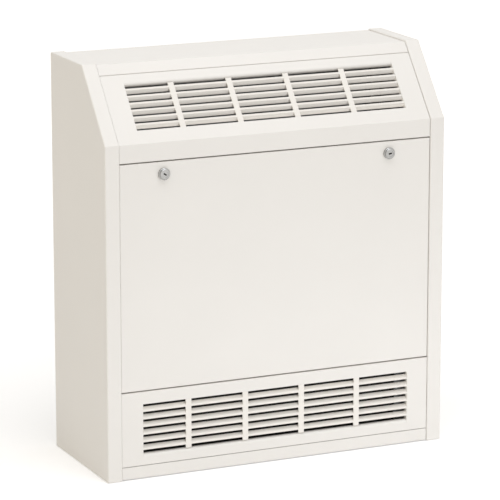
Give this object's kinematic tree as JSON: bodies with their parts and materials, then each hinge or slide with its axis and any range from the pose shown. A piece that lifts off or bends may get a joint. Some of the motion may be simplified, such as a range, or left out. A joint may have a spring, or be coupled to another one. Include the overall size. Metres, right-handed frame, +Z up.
{
  "type": "fan convector",
  "caption": "Floor-standing fan convector with a sloped louvre grille at the top, a louvre intake grille at the foot and a locked drop-down door in front of its blowers, filter and water coil.",
  "frame": {"origin": "bottom centre of the bounding box, on the floor", "axes": "+X to the right seen from the front, +Y towards the wall, +Z up; the front faces -Y"},
  "size_m": [0.6, 0.2372, 0.665],
  "materials": {
    "white_coat": "satin powder coat",
    "grille_coat": "satin powder coat",
    "galvanised": "galvanised",
    "zinc_steel": "zinc plated",
    "satin_nickel": "satin nickel plate",
    "wheel_steel": "galvanised",
    "motor_black": "black paint",
    "black_rubber": "matt",
    "black_plastic": "matt",
    "pale_plastic": "matt",
    "fin_aluminium": "mill finish",
    "copper": "copper tube",
    "vent_brass": "turned brass",
    "filter_mat": "open fibre mat"
  },
  "bodies": {
    "casing": {"left_cheek": "white_coat", "right_cheek": "white_coat", "top_panel": "white_coat", "discharge_panel": "white_coat", "discharge_grille": "grille_coat", "intake_panel": "white_coat", "intake_grille": "grille_coat", "base_pan": "white_coat", "back_panel": "galvanised", "door_pivot_pins": "zinc_steel", "left_chassis_plate": "galvanised", "right_chassis_plate": "galvanised", "plenum_tray": "galvanised", "left_scroll": "galvanised", "right_scroll": "galvanised", "motor": "motor_black", "motor_rings": "black_rubber", "motor_cradle": "galvanised", "run_capacitor": "pale_plastic", "coil_fins": "fin_aluminium", "coil_tubes": "copper", "coil_end_plates": "galvanised", "flow_header": "copper", "return_header": "copper", "air_vent": "vent_brass", "limit_thermostat": "pale_plastic", "filter_channels": "galvanised", "control_box": "galvanised", "control_cover": "galvanised", "switch_housing": "black_plastic", "terminal_block": "pale_plastic", "cable_grommet": "black_rubber"},
    "door": {"access_door": "white_coat", "left_lock_barrel": "satin_nickel", "right_lock_barrel": "satin_nickel", "lock_nuts": "zinc_steel"},
    "left_lock": {"left_lock_plug": "satin_nickel", "left_lock_cam": "zinc_steel", "left_cam_screw": "zinc_steel"},
    "right_lock": {"right_lock_plug": "satin_nickel", "right_lock_cam": "zinc_steel", "right_cam_screw": "zinc_steel"},
    "fan": {"left_impeller": "wheel_steel", "right_impeller": "wheel_steel", "fan_shaft": "zinc_steel"},
    "filter": {"filter_frame": "galvanised", "filter_media": "filter_mat"},
    "rocker": {"speed_rocker": "black_plastic"},
    "bleed": {"vent_screw": "vent_brass"}
  },
  "joints": [
    {"name": "door_tilt", "type": "hinge", "parent": "casing", "child": "door", "pos_m": [0, -0.10505, 0.1671], "axis": [1, 0, 0], "range_deg": [0, 90]},
    {"name": "left_lock_turn", "type": "hinge", "parent": "door", "child": "left_lock", "pos_m": [-0.199, -0.11205, 0.49824], "axis": [0, -1, 0], "range_deg": [0, 90]},
    {"name": "right_lock_turn", "type": "hinge", "parent": "door", "child": "right_lock", "pos_m": [0.199, -0.11205, 0.49824], "axis": [0, 1, 0], "range_deg": [0, 90]},
    {"name": "fan_spin", "type": "hinge", "parent": "casing", "child": "fan", "pos_m": [0, 0.02755, 0.255], "axis": [1, 0, 0], "continuous": true},
    {"name": "filter_lift", "type": "slide", "parent": "casing", "child": "filter", "axis": [0, 0, 1], "range_m": [0, 0.13]},
    {"name": "speed_rock", "type": "hinge", "parent": "casing", "child": "rocker", "pos_m": [0.2265, -0.04265, 0.296], "axis": [1, 0, 0], "range_deg": [-10, 10]},
    {"name": "vent_turn", "type": "hinge", "parent": "casing", "child": "bleed", "pos_m": [-0.214, -0.0412, 0.4735], "axis": [0, -1, 0], "range_deg": [0, 180]}
  ]
}
